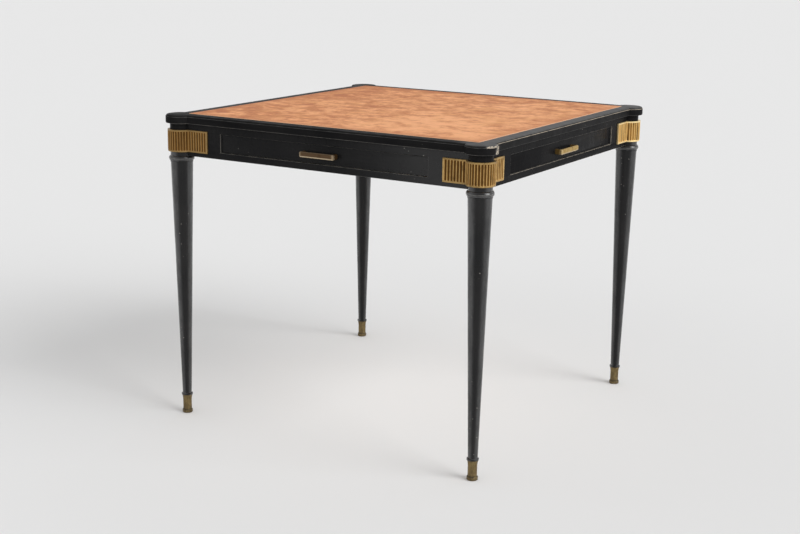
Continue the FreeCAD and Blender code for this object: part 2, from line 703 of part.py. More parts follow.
def make_border(side, turn):
    body = new_body(f"border_{side}", turn=turn)
    reach = f"({half_span} + {ear_radius})"
    straight = new_sketch(body, f"border_section_{side}", yaw=-90)
    edge_profile(straight, f"{half_span} - {ear_radius}", edge_out)
    feature(body, "Pad", f"border_length_{side}", straight, Length=f"2 * {half_span}", Midplane=True)
    for sign, hand in (("-", "left"), ("", "right")):
        ear = new_sketch(body, f"border_ear_{hand}_{side}", (f"{sign}{half_span}", minus(half_span), "0"))
        edge_profile(ear, "0", ear_radius)
        spun(body, "Revolution", f"border_ear_turning_{hand}_{side}", ear)
    trim = new_sketch(body, f"border_trim_{side}", ("0", "0", "Sizes.table_height"), upright=False)
    outline(trim, [
        (minus(panel_edge), minus(panel_edge)),
        (minus(reach), minus(reach)),
        (minus(reach), reach),
        (reach, reach),
        (reach, minus(reach)),
        (panel_edge, minus(panel_edge)),
    ])
    feature(body, "Pocket", f"border_mitres_{side}", trim, Length="Sizes.top_thickness")
    pilots = new_sketch(body, f"border_pilots_{side}", ("0", "0", top_under), upright=False)
    for sign in ("-", ""):
        circle(pilots, f"{sign}Sizes.screw_place", minus(rail_middle), screw_hole)
    feature(body, "Pocket", f"border_pilot_holes_{side}", pilots, Reversed=True,
            Length="Sizes.screw_bite + Sizes.screw_clearance")
    keep(body, f"border_{side}")


# Top screws: countersunk, up through the upper rails into the border
def make_top_screws():
    screws = []
    for side, turn in SIDES.items():
        for sign, hand in (("-", "left"), ("", "right")):
            shank = doc.addObject("Part::Cylinder", f"screw_shank_{side}_{hand}")
            shank.setExpression("Radius", "Sizes.screw_radius")
            shank.setExpression("Height", f"{top_under} - {opening_high} + Sizes.screw_bite")
            head = doc.addObject("Part::Cone", f"screw_head_{side}_{hand}")
            head.setExpression("Radius1", "Sizes.screw_head_radius")
            head.setExpression("Radius2", "Sizes.screw_radius")
            head.setExpression("Height", "Sizes.screw_head_radius - Sizes.screw_radius")
            screw = fused(f"screw_{side}_{hand}", [shank, head])
            place(screw, f"{sign}Sizes.screw_place", minus(rail_middle), opening_high, turn)
            screws.append(screw)
    keep(grouped("top_screws", screws), "top_screws")


for corner, turn in CORNERS.items():
    make_leg(corner, turn)
    make_shoe(corner, turn)
make_apron()
make_corner_braces()
make_dividers()
make_runners()
make_drawers()
for side, turn in SIDES.items():
    make_pull(side, turn)
for corner, turn in CORNERS.items():
    make_mount(corner, turn)
make_mount_nuts()

# Top: a flat panel inside the border, level with the rails below, and the leather glued on it
keep(box("top_panel", (minus(panel_edge), minus(panel_edge), top_under),
         (panel_edge, panel_edge, leather_low)), "top_panel")
for side, turn in SIDES.items():
    make_border(side, turn)
make_top_screws()
leather_edge = f"({panel_edge} - Sizes.leather_gap)"
keep(box("leather_panel", (minus(leather_edge), minus(leather_edge), leather_low),
         (leather_edge, leather_edge, leather_top)), "leather_panel")

doc.recompute()
failed = [item.Label for item in doc.Objects if "Invalid" in item.State or "Error" in item.State]
if failed:
    raise RuntimeError(f"did not build: {failed}")
unsound = [node.Label for node in nodes if node.Shape.isNull() or not node.Shape.isValid()]
if unsound:
    raise RuntimeError(f"no sound solid: {unsound}")

os.makedirs("parts", exist_ok=True)
for node in nodes:
    node.Shape.exportStep(f"parts/{node.Label}.step")
print(len(nodes), "pieces written")
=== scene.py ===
import math

import bmesh
import bpy
from mathutils import Matrix, Vector, noise


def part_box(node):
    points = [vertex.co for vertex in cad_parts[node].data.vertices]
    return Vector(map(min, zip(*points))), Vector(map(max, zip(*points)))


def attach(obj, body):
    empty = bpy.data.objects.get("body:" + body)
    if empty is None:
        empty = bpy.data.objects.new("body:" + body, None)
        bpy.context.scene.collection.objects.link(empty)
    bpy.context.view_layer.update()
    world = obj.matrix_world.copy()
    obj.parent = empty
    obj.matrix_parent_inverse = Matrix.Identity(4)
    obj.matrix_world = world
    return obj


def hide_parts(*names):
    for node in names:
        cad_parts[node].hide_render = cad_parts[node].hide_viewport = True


# A square card table: black lacquered wood on brass shoes, with fluted brass corners, a drawer in
# each side and a leather top. The file builds it from the floor up, in metres, and then lights it.
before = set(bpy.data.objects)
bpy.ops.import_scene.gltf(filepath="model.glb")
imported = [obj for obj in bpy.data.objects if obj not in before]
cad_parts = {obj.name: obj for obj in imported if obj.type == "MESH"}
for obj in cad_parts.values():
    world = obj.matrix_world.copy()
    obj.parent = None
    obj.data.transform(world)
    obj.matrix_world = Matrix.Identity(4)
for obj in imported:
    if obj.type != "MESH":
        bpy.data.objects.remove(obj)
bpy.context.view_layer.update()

# Legs: beech, turned in one length, stained black, lacquered and waxed. The collar at the top of the
# taper and the bead over the shoe are turned from the same wood. The lacquer has rubbed thin round the
# collar, and below it the wax still shines at a glancing angle.
CORNERS = ("front_left", "front_right", "back_right", "back_left")
shoe_low, shoe_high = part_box("shoe_back_right")
LEG_AXIS = round(shoe_low.x + shoe_high.x, 4) / 2
LEG_GRAIN = (230, 230, 9)
COLLAR_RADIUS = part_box("leg_back_right")[1].x - LEG_AXIS
COLLAR_RUB = 0.45
COLLAR_RUB_DEPTH = 0.0004
LACQUER_BLACK = (0.005, 0.005, 0.0055, 1)
LACQUER_FADED = (0.013, 0.0125, 0.0125, 1)
LACQUER_BUMP = 0.00018
RUBBED_WOOD_AND_HIGHLIGHT = (0.46, 0.39, 0.30, 1)
RUBBED_DARK = (0.105, 0.102, 0.098, 1)
RUB_LEAST = 0.6
NICK_PALE = (0.34, 0.32, 0.29, 1)
NICK_CELLS = 62.0
WAX_HIGH = 0.70
WAX_LOW = 0.66
WAX_GLANCE_START = 0.045
WAX_GLANCE_END = 0.23
WAX_FACING = 0.2
WAX_MARKED = 0.62
WAX_BETWEEN_MARKS = 0.46
LEG_WAX_IOR = 1.76


class Socket:
    """One output among a material's or a shape's nodes. Sums on it add Math nodes."""

    def __init__(self, tree, output):
        self.tree = tree
        self.output = output

    def node(self, kind, settings, inputs, output=0):
        """Adds a node to the same tree, its settings first and then its inputs, and gives one output."""
        added = self.tree.nodes.new(kind)
        for name, value in settings.items():
            setattr(added, name, value)
        for key, value in inputs.items():
            if isinstance(value, Socket):
                self.tree.links.new(value.output, added.inputs[key])
            else:
                added.inputs[key].default_value = value
        return Socket(self.tree, added.outputs[output])

    def math(self, operation, *values):
        return self.node("ShaderNodeMath", {"operation": operation}, dict(enumerate(values)))

    def __add__(self, other):
        return self.math("ADD", self, other)

    def __radd__(self, other):
        return self.math("ADD", other, self)

    def __sub__(self, other):
        return self.math("SUBTRACT", self, other)

    def __rsub__(self, other):
        return self.math("SUBTRACT", other, self)

    def __mul__(self, other):
        return self.math("MULTIPLY", self, other)

    def __rmul__(self, other):
        return self.math("MULTIPLY", other, self)

    def __truediv__(self, other):
        return self.math("DIVIDE", self, other)

    def __pow__(self, other):
        return self.math("POWER", self, other)

    def __abs__(self):
        return self.math("ABSOLUTE", self)

    def top(self, other):
        return self.math("MAXIMUM", self, other)

    def least(self, other):
        return self.math("MINIMUM", self, other)

    def rise(self, start, end):
        """0 below start, 1 above end, and a smooth step between."""
        return self.node("ShaderNodeMapRange", {"interpolation_type": "SMOOTHSTEP"},
                         {"Value": self, "From Min": start, "From Max": end})

    def mix(self, first, second):
        """The first colour where this is 0, the second where it is 1."""
        return self.node("ShaderNodeMix", {"data_type": "RGBA"}, {0: self, 6: first, 7: second}, 2)

    def attribute(self, name):
        """A value that the points of the piece's mesh carry."""
        return self.node("ShaderNodeAttribute", {"attribute_name": name}, {}, "Fac")

    def axis(self, letter):
        return self.node("ShaderNodeSeparateXYZ", {}, {0: self}, letter)

    def stretched(self, x, y, z):
        """The same place with each axis scaled, which draws a pattern out along the smallest."""
        return self.node("ShaderNodeVectorMath", {"operation": "MULTIPLY"}, {0: self, 1: (x, y, z)})

    def cloud(self, scale, detail=4.0, roughness=0.55, distortion=0.0):
        """Soft random patches from 0 to 1 on this place."""
        return self.node("ShaderNodeTexNoise", {}, {"Vector": self, "Scale": scale, "Detail": detail,
                                                    "Roughness": roughness, "Distortion": distortion})

    def cells(self, scale, feature="F1"):
        return self.node("ShaderNodeTexVoronoi", {"feature": feature}, {"Vector": self, "Scale": scale})

    def bumped(self, distance, strength=1.0):
        """A surface normal raised by this height, which is from 0 to 1."""
        return self.node("ShaderNodeBump", {}, {"Height": self, "Distance": distance, "Strength": strength})


def new_finish(name):
    """An empty material, its shader, and the piece's own place in metres to draw patterns on."""
    material = bpy.data.materials.new(name)
    material.use_nodes = True
    tree = material.node_tree
    place = Socket(tree, tree.nodes.new("ShaderNodeTexCoord").outputs["Object"])
    return material, tree.nodes["Principled BSDF"], place


def feed(shader, values):
    """Links or sets a shader's inputs by their names."""
    for name, value in values.items():
        if isinstance(value, Socket):
            value.tree.links.new(value.output, shader.inputs[name])
        else:
            shader.inputs[name].default_value = value


def painted(material, *names):
    """Puts a finish on CAD nodes that keep their own shape."""
    for name in names:
        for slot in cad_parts[name].material_slots:
            slot.material = material


def black_lacquer(name, grain, shine, roughness, rubbed_and_highlit=None, wax=None, wax_ior=1.5):
    """Black lacquer over grain that is drawn out along its smallest scale. It is rubbed through, or painted
    pale as a highlight, where the piece's wear_and_painted_light attribute, or the rubbed_and_highlit
    function of the place, says so. Another function of the place says where wax is left on it, and
    wax_ior is how that wax bends light."""
    material, shader, place = new_finish(name)
    streaks = place.stretched(*grain).cloud(1.0, detail=6.0, roughness=0.65)
    clouds = place.cloud(7.0, detail=5.0)
    smears = place.stretched(1.0, 1.0, 0.55).cloud(38.0, detail=6.0, roughness=0.7, distortion=0.6)
    wear_and_painted_light = place.attribute("wear_and_painted_light")
    if rubbed_and_highlit:
        wear_and_painted_light = wear_and_painted_light.top(rubbed_and_highlit(place))
    broken = place.cloud(70.0, detail=6.0, roughness=0.7).rise(0.30, 0.60)
    wear_and_painted_light = (wear_and_painted_light * (RUB_LEAST + broken * (1 - RUB_LEAST))).least(1.0)
    nick_spots = place.stretched(1.0, 1.0, 2.2).cells(NICK_CELLS).rise(0.10, 0.055)
    nicks = nick_spots * place.cloud(11.0, detail=2.0).rise(0.56, 0.64)
    ground = (clouds * 0.7 + streaks * 0.3).rise(0.30, 0.75).mix(LACQUER_BLACK, LACQUER_FADED)
    # Pale edges: bare wood where rubbed, and painted highlights where the marks stand for light.
    edge = wear_and_painted_light.rise(0.42, 0.95).mix(RUBBED_DARK, RUBBED_WOOD_AND_HIGHLIGHT)
    colour = wear_and_painted_light.rise(0.05, 0.6).mix(ground, edge)
    feed(shader, {
        "Base Color": nicks.mix(colour, NICK_PALE),
        "Roughness": roughness + smears.rise(0.35, 0.8) * 0.20 + wear_and_painted_light * 0.2 + nicks * 0.2,
        "IOR": 1.5,
        "Specular IOR Level": shine,
        "Normal": (streaks * 0.6 + smears * 0.4 - nicks).bumped(LACQUER_BUMP, 0.5),
    })
    if wax:
        feed(shader, {"Coat Weight": wax(place), "Coat Roughness": roughness * 0.8, "Coat IOR": wax_ior})
    return material


def collar_rub(place):
    """The wear round a collar, where it stands out furthest from the leg's axis."""
    reach = (abs(place.axis("X")) - LEG_AXIS) ** 2.0 + (abs(place.axis("Y")) - LEG_AXIS) ** 2.0
    return (reach ** 0.5).rise(COLLAR_RADIUS - COLLAR_RUB_DEPTH, COLLAR_RADIUS) * COLLAR_RUB


def leg_wax(place):
    """Wax below the collar, dulled by marks down the leg, which shows most at a glancing angle."""
    glance = place.node("ShaderNodeLayerWeight", {}, {"Blend": 0.5}, "Facing")
    glance = glance.rise(WAX_GLANCE_START, WAX_GLANCE_END)
    marks = place.stretched(1.0, 1.0, 0.3).cloud(60.0, detail=6.0, roughness=0.7).rise(0.36, 0.62)
    gloss = WAX_FACING + glance * (1 - WAX_FACING) * (WAX_MARKED + marks * WAX_BETWEEN_MARKS)
    return place.axis("Z").rise(WAX_HIGH, WAX_LOW) * gloss


leg_lacquer = black_lacquer("lacquer_on_legs", LEG_GRAIN, shine=0.03, roughness=0.24, rubbed_and_highlit=collar_rub,
                            wax=leg_wax, wax_ior=LEG_WAX_IOR)
painted(leg_lacquer, *[f"leg_{corner}" for corner in CORNERS])

# Shoes: brass turned with a rolled rim and a flared lip, pushed on the leg's spigot. Years of mopping
# have left them brown, with green-black dirt in the turning marks.
SHOE_BRASS = (0.235, 0.172, 0.078, 1)
SHOE_BROWN = (0.105, 0.076, 0.040, 1)
SHOE_DIRT = (0.035, 0.03, 0.017, 1)
SHOE_BUMP = 0.00012
TURNING_LINES = 900.0
DIRT_TOP = 0.0125
DIRT_MIDDLE = 0.0085
DIRT_FOOT = 0.0065

aged_brass, shader, place = new_finish("aged_shoe_brass")
height = place.axis("Z")
turning = place.math("SINE", height * (2 * math.pi * TURNING_LINES)) * 0.5 + 0.5
patches = place.stretched(1, 1, 0.6).cloud(140.0, detail=6.0, roughness=0.65)
rim_dirt = height.rise(DIRT_TOP, DIRT_MIDDLE) * (0.5 + height.rise(DIRT_FOOT, DIRT_MIDDLE) * 0.5)
brown = (patches.rise(0.35, 0.68) * 0.85 + rim_dirt * 0.3).least(1.0)
colour = brown.mix(SHOE_BRASS, SHOE_BROWN)
dirt = (rim_dirt * place.cloud(260.0, detail=4.0).rise(0.3, 0.6) * 0.8).top(patches.rise(0.68, 0.8) * 0.6)
feed(shader, {
    "Base Color": dirt.mix(colour, SHOE_DIRT),
    "Metallic": 0.95 - dirt * 0.6,
    "Roughness": 0.36 + brown * 0.16 + dirt * 0.2,
    "Normal": (turning * 0.4 + patches * 0.6).bumped(SHOE_BUMP, 0.6),
})
painted(aged_brass, *[f"shoe_{corner}" for corner in CORNERS])

# Apron: on each side an upper and a lower rail with two stiles between, glued and lacquered as one
# black frame round the drawer's opening. Its arrises round the opening and below are eased and painted
# pale, partly as wear and partly as painted highlights where they catch the lamp: palest on the right side,
# faintest at the head of the opening, which faces down. Its front and back have kept some wax toward
# the right.
SIDES = ("front", "right", "back", "left")
rail_low, rail_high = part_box("lower_rail_front")
apron_low = rail_low.z
apron_face = -rail_low.y
opening_low = rail_high.z
opening_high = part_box("upper_rail_front")[0].z
DRAWER_GAP = 0.001
opening_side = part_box("front_drawer_front")[1].x + DRAWER_GAP
EASE = 0.0007
NEAR = 0.00005
FLAT_ANGLE = math.radians(0.5)
ARRIS_ANGLE = 0.5
# Pale arris lines per side: partly wear, partly painted highlight where the lamp falls.
JAMB_RUB_AND_HIGHLIGHT = 0.45
SILL_RUB_AND_HIGHLIGHT = {"front": 0.72, "right": 1.0, "back": 0.7, "left": 0.6}
HEAD_RUB_AND_HIGHLIGHT = {"front": 0.25, "right": 0.6, "back": 0.3, "left": 0.3}
APRON_WAX = 0.6
APRON_WAX_START = 0.02
APRON_WAX_END = 0.34
GRAIN_ALONG_X = (7, 240, 240)
GRAIN_ALONG_Y = (240, 7, 240)


def facing(side):
    """Turns a side's own frame, which looks out along -Y, to the table's."""
    return Matrix.Rotation(math.radians(90 * SIDES.index(side)), 4, "Z")


def eased(node, side, edges, rub_and_highlight, cuts=()):
    """A copy of a CAD node with the arrises that edges() picks, in the front's own frame, rounded over and
    painted pale by rub_and_highlight, partly as wear and partly as painted highlight. cuts are places
    along the side where an arris starts or ends."""
    to_front = facing(side).inverted()
    shape = bmesh.new()
    shape.from_mesh(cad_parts[node].data)
    bmesh.ops.transform(shape, matrix=to_front, verts=shape.verts)
    bmesh.ops.remove_doubles(shape, verts=shape.verts, dist=NEAR / 5)
    bmesh.ops.dissolve_limit(shape, angle_limit=FLAT_ANGLE, verts=shape.verts, edges=shape.edges)
    for x in cuts:
        whole = shape.verts[:] + shape.edges[:] + shape.faces[:]
        bmesh.ops.bisect_plane(shape, geom=whole, dist=NEAR / 5, plane_co=(x, 0, 0), plane_no=(1, 0, 0))
    wear_and_painted_light = shape.verts.layers.float.new("wear_and_painted_light")
    picked = [edge for edge in shape.edges if len(edge.link_faces) == 2
              and edge.calc_face_angle() > ARRIS_ANGLE and edges(*[vert.co for vert in edge.verts])]
    face = min(vert.co.y for vert in shape.verts)
    bmesh.ops.bevel(shape, geom=picked, offset=EASE, segments=2, profile=0.5, affect="EDGES")
    for vert in shape.verts:
        depth = vert.co.y - face
        inside = abs(vert.co.x) < opening_side + NEAR and vert.co.z > apron_low + 2 * EASE
        behind = inside and abs(depth - EASE) < NEAR
        # Painted pale on the eased arris and the reveal behind it: partly wear, partly painted highlight.
        vert[wear_and_painted_light] = rub_and_highlight if NEAR < depth < EASE - NEAR else rub_and_highlight * JAMB_RUB_AND_HIGHLIGHT * behind
    bmesh.ops.transform(shape, matrix=facing(side), verts=shape.verts)
    return shape


def finished(name, shape, material, body, smooth=30, rule=None, sizes=None):
    """Turns a shape into a piece of the table that rides on a body and takes its finish from a slot. A
    geometry rule with its sizes, if there is one, works on the shape first. Edges over the angle smooth, in
    degrees, stay sharp."""
    mesh = bpy.data.meshes.new(name)
    shape.to_mesh(mesh)
    shape.free()
    mesh.materials.append(material)
    piece = bpy.data.objects.new(name, mesh)
    bpy.context.scene.collection.objects.link(piece)
    if rule:
        shaped_by(rule, piece, sizes)
    piece.data.shade_smooth()
    piece.data.set_sharp_from_angle(angle=math.radians(smooth))
    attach(piece, body)
    return piece


def on_face(a, b):
    """Whether an edge between two points lies on the apron's outer face."""
    return max(a.y, b.y) < -apron_face + NEAR


def lower_arrises(a, b):
    """Whether an edge is the apron's lower arris, or the sill of the opening."""
    below = max(a.z, b.z) < apron_low + NEAR
    sill = min(a.z, b.z) > opening_low - NEAR and max(abs(a.x), abs(b.x)) < opening_side + NEAR
    return on_face(a, b) and abs(a.z - b.z) < NEAR and (below or sill)


def upper_arrises(a, b):
    """Whether an edge is the head of the opening."""
    head = max(a.z, b.z) < opening_high + NEAR and max(abs(a.x), abs(b.x)) < opening_side + NEAR
    return on_face(a, b) and head


def stile_arrises(a, b):
    """Whether an edge is a jamb of the opening."""
    return on_face(a, b) and max(abs(a.x), abs(b.x)) < opening_side + NEAR


def apron_wax(place):
    """Wax that is left toward the right."""
    return place.axis("X").rise(APRON_WAX_START, APRON_WAX_END) * APRON_WAX


lengthwise_lacquer = black_lacquer("lacquer_lengthwise", GRAIN_ALONG_X, shine=0.08, roughness=0.24,
                                   wax=apron_wax)
crosswise_lacquer = black_lacquer("lacquer_crosswise", GRAIN_ALONG_Y, shine=0.02, roughness=0.24)
for side in SIDES:
    lacquer = lengthwise_lacquer if side in ("front", "back") else crosswise_lacquer
    for node, arrises, rub_and_highlight, cuts in (
        ("lower_rail", lower_arrises, SILL_RUB_AND_HIGHLIGHT[side], (-opening_side, opening_side)),
        ("upper_rail", upper_arrises, HEAD_RUB_AND_HIGHLIGHT[side], (-opening_side, opening_side)),
        ("apron_stiles", stile_arrises, SILL_RUB_AND_HIGHLIGHT[side], ()),
    ):
        shape = eased(f"{node}_{side}", side, arrises, rub_and_highlight, cuts)
        piece = finished(f"lacquered_{node}_{side}", shape, lacquer, "table")
        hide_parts(f"{node}_{side}")

# Frame inside the apron: beech dividers halved over each other, runner strips and corner braces glued
# in place, all left bare from the saw and plane.
BARE_PALE = (0.52, 0.36, 0.205, 1)
BARE_DARK = (0.36, 0.225, 0.115, 1)
GRAIN_BUMP = 0.0002
FIGURE_SCALE = 0.22
PORE_SCALE = 2.6
SOILED = 0.55


def open_wood(name, grain, pale, dark, roughness):
    """Wood under oil or bare, its grain drawn out along the smallest of the three scales."""
    material, shader, place = new_finish(name)
    figure = place.stretched(*[scale * FIGURE_SCALE for scale in grain])
    figure = figure.cloud(1.0, detail=4.0, roughness=0.6, distortion=0.8)
    fibres = place.stretched(*grain).cloud(1.0, detail=6.0, roughness=0.7)
    pores = place.stretched(*[scale * PORE_SCALE for scale in grain]).cloud(1.0, detail=2.0).rise(0.62, 0.72)
    soil = place.cloud(9.0, detail=5.0).rise(0.45, 0.8)
    colour = (figure * 0.6 + fibres * 0.4).rise(0.3, 0.7).mix(pale, dark)
    soiled = [channel * SOILED for channel in dark[:3]]
    feed(shader, {
        "Base Color": (pores * 0.45 + soil * 0.3).least(1.0).mix(colour, (*soiled, 1)),
        "Roughness": roughness + fibres * 0.15,
        "Normal": (fibres - pores * 0.5).bumped(GRAIN_BUMP, 0.6),
    })
    return material


for name, grain, roughness, nodes in (
    ("bare_beech_lengthwise", (200, 9, 200), 0.62, ("dividers_lengthwise",)),
    ("bare_beech_crosswise", (9, 200, 200), 0.62, ("dividers_crosswise",)),
    ("bare_beech_blocks", (150, 150, 12), 0.66, ("corner_braces", "drawer_runners")),
):
    painted(open_wood(name, grain, BARE_PALE, BARE_DARK, roughness), *nodes)

# Drawers: a lacquered front with eased edges, oiled oak sides and back, and a thin bottom let into
# grooves. Each drawer slides on its runners and is held by nothing else.
OAK_PALE = (0.43, 0.27, 0.14, 1)
OAK_DARK = (0.25, 0.14, 0.065, 1)
FRONT_RUB = 0.6
front_face = -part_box("front_drawer_front")[0].y
oak_along_x = open_wood("oiled_oak_along_x", (8, 190, 190), OAK_PALE, OAK_DARK, roughness=0.48)
oak_along_y = open_wood("oiled_oak_along_y", (190, 8, 190), OAK_PALE, OAK_DARK, roughness=0.48)


def front_arrises(a, b):
    """Whether an edge is one of the long ones round the drawer's face."""
    return max(a.y, b.y) < -front_face + NEAR and (a - b).length > 10 * EASE


for side in SIDES:
    faces_y = side in ("front", "back")
    shape = eased(f"{side}_drawer_front", side, front_arrises, FRONT_RUB)
    lacquer = lengthwise_lacquer if faces_y else crosswise_lacquer
    piece = finished(f"{side}_drawer_lacquered_front", shape, lacquer, f"{side}_drawer")
    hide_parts(f"{side}_drawer_front")
    across, along = (oak_along_x, oak_along_y) if faces_y else (oak_along_y, oak_along_x)
    painted(across, f"{side}_drawer_back", f"{side}_drawer_bottom")
    painted(along, f"{side}_drawer_left_side", f"{side}_drawer_right_side")

# Pulls: a square brass bar bent to a flat staple. The front one is painted brown as shade, and the
# others keep a dull gilding. A threaded stud on each leg goes through the drawer front to a nut and a
# washer inside.
pull_low, pull_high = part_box("front_drawer_pull")
stud_middle = (pull_low.z + pull_high.z) / 2
STUD_INSET = 0.004
STUD_RADIUS = 0.002
stud_reach = pull_high.x - STUD_INSET
front_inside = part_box("front_drawer_front")[1].y
NUT_RADIUS = 0.0036
NUT_HEIGHT = 0.0026
WASHER_RADIUS = 0.0052
WASHER_HEIGHT = 0.0008
PULL_GOLD = (0.38, 0.250, 0.075, 1)
PULL_SHADED_BROWN = (0.088, 0.052, 0.026, 1)
PULL_HIGHLIGHT_PALE = (0.60, 0.48, 0.32, 1)
PATINA_AND_PAINTED_SHADE = (0.045, 0.020, 0.003, 1)
BRASS_BUMP = 0.0002
BAR_BACK = 0.009
BAR_FRONT = 0.015
LOWER_HIGHLIGHT_START = 0.0034
LOWER_HIGHLIGHT_END = 0.0018
UPPER_HIGHLIGHT_START = 0.0012
UPPER_HIGHLIGHT = 0.2
END_HIGHLIGHT_START = 0.007
END_HIGHLIGHT_END = 0.003
END_HIGHLIGHT = 0.35
STEEL = (0.42, 0.41, 0.40, 1)
RUST = (0.14, 0.07, 0.035, 1)
STEEL_BUMP = 0.00005


def pull_brass(name, gilding):
    """Gilding gone dull on the bar's face, with painted shade on the legs toward the drawer, and painted
    highlights in pale metal along the bar's lower edge, its top and its ends."""
    material, shader, place = new_finish(name)
    along = abs(place.axis("X")).least(abs(place.axis("Y")))
    forward = abs(place.axis("X")).top(abs(place.axis("Y")))
    forward = forward.rise(front_face + BAR_BACK, front_face + BAR_FRONT)
    height = place.axis("Z")
    patches = place.cloud(110.0, detail=6.0, roughness=0.65)
    # Painted highlights: pale metal along the bar's lower edge, its top and its ends.
    lower = height.rise(pull_low.z + LOWER_HIGHLIGHT_START, pull_low.z + LOWER_HIGHLIGHT_END)
    upper = height.rise(pull_high.z - UPPER_HIGHLIGHT_START, pull_high.z) * UPPER_HIGHLIGHT
    ends = along.rise(pull_high.x - END_HIGHLIGHT_START, pull_high.x - END_HIGHLIGHT_END) * END_HIGHLIGHT
    rubbed_and_highlit = (lower.top(upper).top(ends) * forward * (0.5 + patches * 0.7)).least(1.0)
    # Painted shade: the staple's legs grow dark toward the drawer, on top of the patina patches.
    patina_and_painted_light = (patches.rise(0.48, 0.75) * (1.0 - rubbed_and_highlit)).top(0.75 - forward * 0.75)
    feed(shader, {
        "Base Color": rubbed_and_highlit.mix(patina_and_painted_light.mix(gilding, PATINA_AND_PAINTED_SHADE), PULL_HIGHLIGHT_PALE),
        "Metallic": 0.6 - patina_and_painted_light * 0.3,
        "Specular IOR Level": 0.2,
        "Roughness": 0.30 + patches * 0.14 + patina_and_painted_light * 0.2,
        "Normal": patches.bumped(BRASS_BUMP, 0.5),
    })
    return material


# The front pull is painted brown as shade.
painted(pull_brass("shaded_brown_brass_on_pull", PULL_SHADED_BROWN), "front_drawer_pull")
painted(pull_brass("gilt_on_pulls", PULL_GOLD), *[f"{side}_drawer_pull" for side in SIDES[1:]])

plain_steel, shader, place = new_finish("plain_steel")
scratches = place.stretched(900, 900, 60).cloud(1.0, detail=3.0)
rust = place.cloud(160.0, detail=5.0, roughness=0.7).rise(0.58, 0.75)
feed(shader, {
    "Base Color": rust.mix(STEEL, RUST),
    "Metallic": 1 - rust * 0.8,
    "Roughness": 0.34 + scratches * 0.15 + rust * 0.35,
    "Normal": scratches.bumped(STEEL_BUMP, 0.5),
})


def new_rule(name, sizes):
    """An empty geometry tree with a named input for each size, and a socket for each of them."""
    tree = bpy.data.node_groups.new(name, "GeometryNodeTree")
    tree.interface.new_socket("Geometry", in_out="INPUT", socket_type="NodeSocketGeometry")
    for size in sizes:
        tree.interface.new_socket(size, in_out="INPUT", socket_type="NodeSocketFloat")
    tree.interface.new_socket("Geometry", in_out="OUTPUT", socket_type="NodeSocketGeometry")
    start = tree.nodes.new("NodeGroupInput")
    return tree, {output.name: Socket(tree, output) for output in start.outputs if output.name}


def end_rule(made, material):
    """Ends a geometry tree: its instances become one mesh, in one finish."""
    whole = made.node("GeometryNodeRealizeInstances", {}, {0: made})
    whole = whole.node("GeometryNodeSetMaterial", {}, {"Geometry": whole, "Material": material})
    end = made.tree.nodes.new("NodeGroupOutput")
    made.tree.links.new(whole.output, end.inputs[0])


def shaped_by(tree, piece, sizes):
    """Runs a geometry tree on a piece once and keeps what it makes as a plain mesh."""
    modifier = piece.modifiers.new(tree.name, "NODES")
    modifier.node_group = tree
    for item in tree.interface.items_tree:
        if item.in_out == "INPUT" and item.name in sizes:
            modifier[item.identifier] = sizes[item.name]
    evaluated = piece.evaluated_get(bpy.context.evaluated_depsgraph_get())
    mesh = bpy.data.meshes.new_from_object(evaluated)
    piece.modifiers.remove(modifier)
    piece.data = mesh


def bored_ring(start, radius, height, sides, bore):
    """A ring about Y with so many sides, swept from a rectangle, which stands from y = 0 to height."""
    middle = (radius + bore) * 0.5
    path = start.node("GeometryNodeCurvePrimitiveCircle", {"mode": "RADIUS"},
                      {"Resolution": sides, "Radius": middle})
    section = start.node("GeometryNodeCurvePrimitiveQuadrilateral", {"mode": "RECTANGLE"},
                         {"Width": radius - bore, "Height": height})
    ring = start.node("GeometryNodeCurveToMesh", {}, {"Curve": path, "Profile Curve": section})
    lifted = start.node("ShaderNodeCombineXYZ", {}, {"Y": height * 0.5})
    return start.node("GeometryNodeTransform", {}, {"Geometry": ring, "Rotation": (math.pi / 2, 0, 0),
                                                    "Translation": lifted})


nut_sizes = {"Nut radius": NUT_RADIUS, "Nut height": NUT_HEIGHT, "Washer radius": WASHER_RADIUS,
             "Washer height": WASHER_HEIGHT, "Bore": STUD_RADIUS}
nut_tree, given = new_rule("nut_and_washer", nut_sizes)
points = given["Geometry"]
nut = bored_ring(points, given["Nut radius"], given["Nut height"], sides=6, bore=given["Bore"])
raised = points.node("ShaderNodeCombineXYZ", {}, {"Y": given["Washer height"]})
nut = points.node("GeometryNodeTransform", {}, {"Geometry": nut, "Translation": raised})
washer = bored_ring(points, given["Washer radius"], given["Washer height"], sides=24, bore=given["Bore"])
joined = points.node("GeometryNodeJoinGeometry", {}, {0: nut})
points.tree.links.new(washer.output, joined.output.node.inputs[0])
turn = points.node("GeometryNodeInputNamedAttribute", {"data_type": "FLOAT_VECTOR"}, {"Name": "turn"})
placed = points.node("GeometryNodeInstanceOnPoints", {},
                     {"Points": points, "Instance": joined, "Rotation": turn})
end_rule(placed, plain_steel)
for side in SIDES:
    shape = bmesh.new()
    turns = shape.verts.layers.float_vector.new("turn")
    for hand in (-1, 1):
        vert = shape.verts.new(facing(side) @ Vector((hand * stud_reach, front_inside, stud_middle)))
        vert[turns] = facing(side).to_euler()
    finished(f"{side}_pull_nuts", shape, plain_steel, f"{side}_drawer", rule=nut_tree,
             sizes=nut_sizes)

